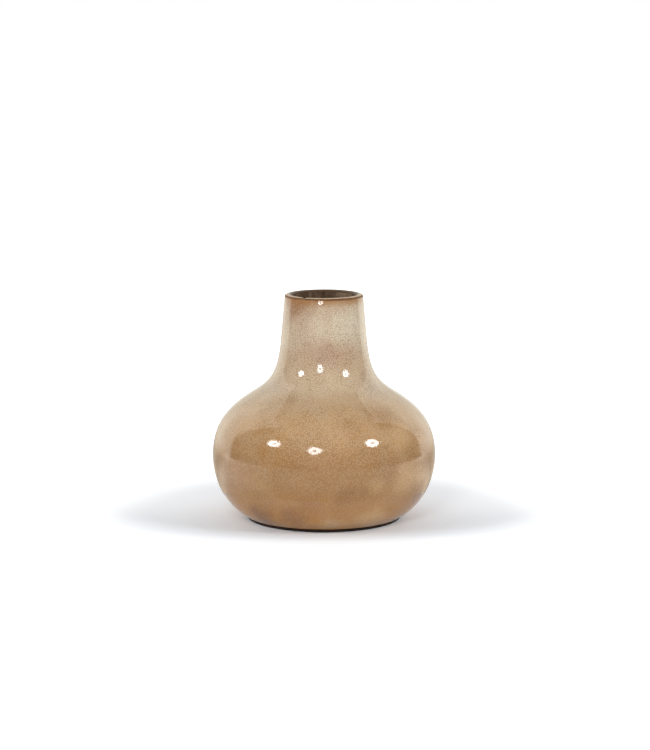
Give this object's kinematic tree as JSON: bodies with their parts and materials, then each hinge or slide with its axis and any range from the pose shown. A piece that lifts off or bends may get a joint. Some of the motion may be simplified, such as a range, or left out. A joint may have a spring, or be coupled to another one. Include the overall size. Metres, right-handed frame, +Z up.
{
  "type": "ceramic bud vase",
  "caption": "Squat round-bellied ceramic bud vase with a tall, slightly tapering neck, tan speckled gloss glaze, brown lip and a bare clay foot ring.",
  "frame": {"origin": "on the standing plane, on the vase's own axis of revolution", "axes": "+Z up along the axis of revolution; X and Y are free, as the vase is turned"},
  "size_m": [0.148, 0.148, 0.15],
  "materials": {
    "stoneware": "bare fired dark clay, matt",
    "tan_glaze": "gloss, speckled and finely crackled",
    "lip_glaze": "gloss, thin and brown over the lip",
    "liner_glaze": "gloss dark brown"
  },
  "bodies": {
    "root": {"lower_belly": "stoneware", "upper_belly": "stoneware", "neck_wall": "stoneware", "foot_ring": "stoneware", "outer_glaze": "tan_glaze", "lip_glaze": "lip_glaze", "inner_glaze": "liner_glaze", "underside_glaze": "liner_glaze"}
  },
  "joints": []
}
